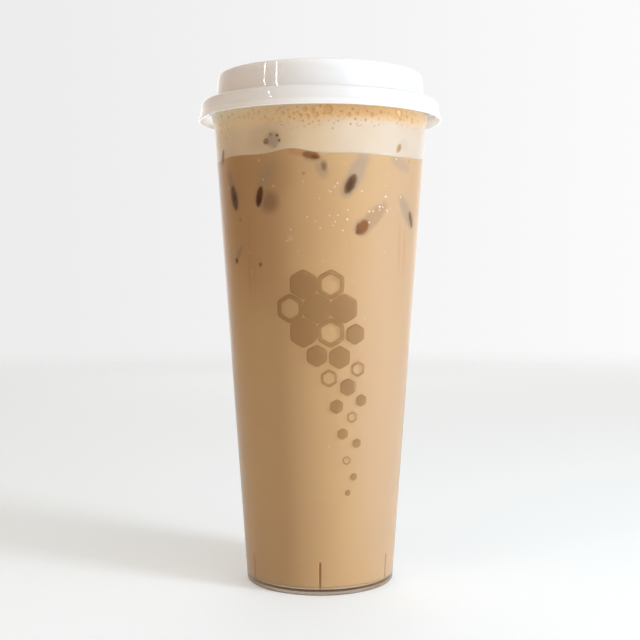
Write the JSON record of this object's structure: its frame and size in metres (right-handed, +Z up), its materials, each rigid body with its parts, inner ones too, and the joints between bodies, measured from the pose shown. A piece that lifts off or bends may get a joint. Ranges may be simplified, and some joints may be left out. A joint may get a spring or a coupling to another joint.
{
  "type": "iced milk tea in a lidded cup",
  "caption": "Tall tapered clear plastic cup of iced milk tea with a layer of milk foam on top, closed by a raised white plastic lid with a flared skirt.",
  "frame": {"origin": "centre of the foot ring, in the plane that the cup stands on", "axes": "+Z up along the cup's axis, -Y towards the printed front"},
  "size_m": [0.0966, 0.0966, 0.2],
  "materials": {
    "cup_plastic": "clear injection-moulded polypropylene, glossy, very slightly hazy",
    "lid_plastic": "opaque white, glossy",
    "milk_tea": "opaque light brown liquid",
    "milk_foam": "opaque cream liquid foam with small bubbles",
    "ice": "clear ice seen through dark tea",
    "print_ink": "thin translucent tan print on the outside of the wall"
  },
  "bodies": {
    "root": {"cup": "cup_plastic", "lid": "lid_plastic", "milk_tea": "milk_tea", "milk_foam": "milk_foam"}
  },
  "joints": []
}
